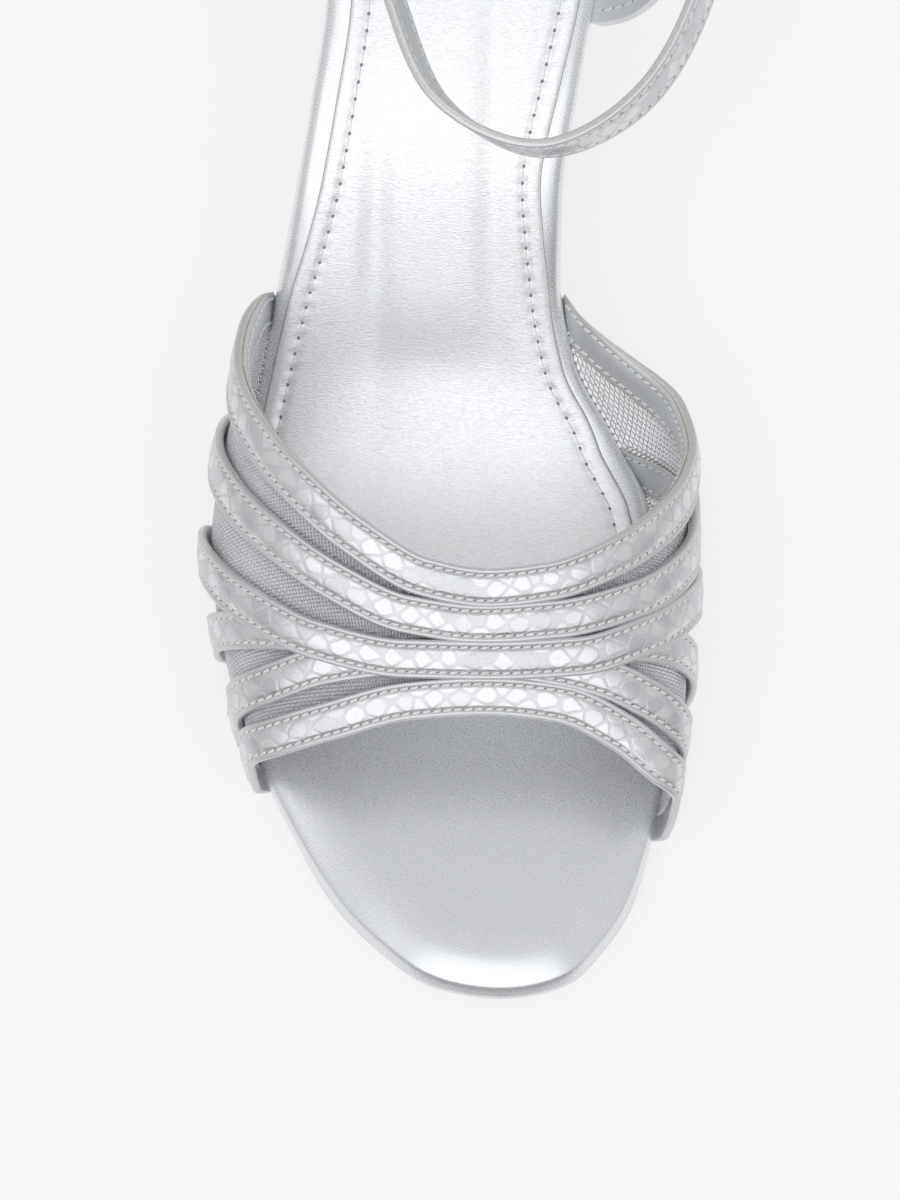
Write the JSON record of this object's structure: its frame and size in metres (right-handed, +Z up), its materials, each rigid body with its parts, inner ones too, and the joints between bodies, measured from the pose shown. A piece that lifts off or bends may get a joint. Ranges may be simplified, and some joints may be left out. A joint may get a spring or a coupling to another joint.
{
  "type": "strappy sandal",
  "caption": "Right-foot open-toe heeled sandal with fans of crossing vamp straps over a mesh, a closed heel counter and a slack buckled ankle strap.",
  "frame": {"origin": "on the floor in the middle of the forefoot's flat tread", "axes": "+Z up, -Y towards the toe, +X towards the medial side of a right foot"},
  "size_m": [0.0936, 0.2321, 0.1289],
  "materials": {
    "outsole": "smooth pale beige sole with a thin painted edge",
    "insole": "smooth silver foil leather wrapped round the footbed's edge",
    "sock": "satin silver leather with a fine wavy grain and a stitched border",
    "mesh": "open silver weave",
    "straps": "silver leather with a common reptile scale print and two stitch rows",
    "counter": "satin silver leather with a pale lining",
    "buckle": "polished silver wire",
    "heel": "silver leather cover",
    "top_piece": "matte black"
  },
  "bodies": {
    "root": {"outsole": "outsole", "insole": "insole", "sock": "sock", "vamp_mesh": "mesh", "vamp_straps": "straps", "heel_counter": "counter", "ankle_strap": "straps", "strap_keeper": "straps", "buckle_frame": "buckle", "buckle_prong": "buckle", "heel": "heel", "heel_top_piece": "top_piece"}
  },
  "joints": []
}
